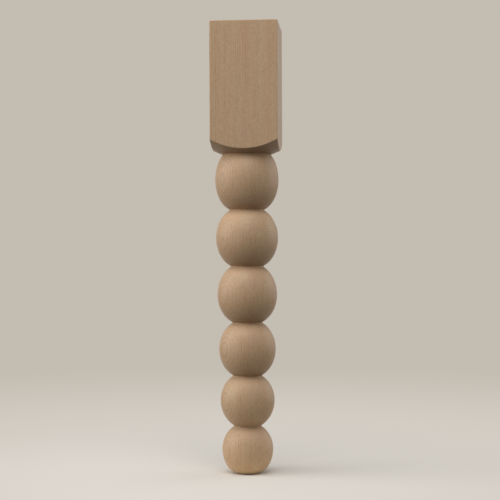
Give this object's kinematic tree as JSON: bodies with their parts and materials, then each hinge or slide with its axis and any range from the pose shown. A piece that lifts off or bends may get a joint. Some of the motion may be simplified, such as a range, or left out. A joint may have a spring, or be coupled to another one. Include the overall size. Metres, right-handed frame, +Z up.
{
  "type": "turned table leg",
  "caption": "Turned table leg: a square block with a domed shoulder over a stack of graduated balls that shrink to a small flat foot, in pale bare maple.",
  "frame": {"origin": "centre of the flat foot, on the floor", "axes": "+Z up along the turning axis; the block's four flat sides look along +X, -X, +Y and -Y"},
  "size_m": [0.0636, 0.0636, 0.4255],
  "materials": {
    "maple": "bare, sanded"
  },
  "bodies": {
    "root": {"turned_leg": "maple"}
  },
  "joints": []
}
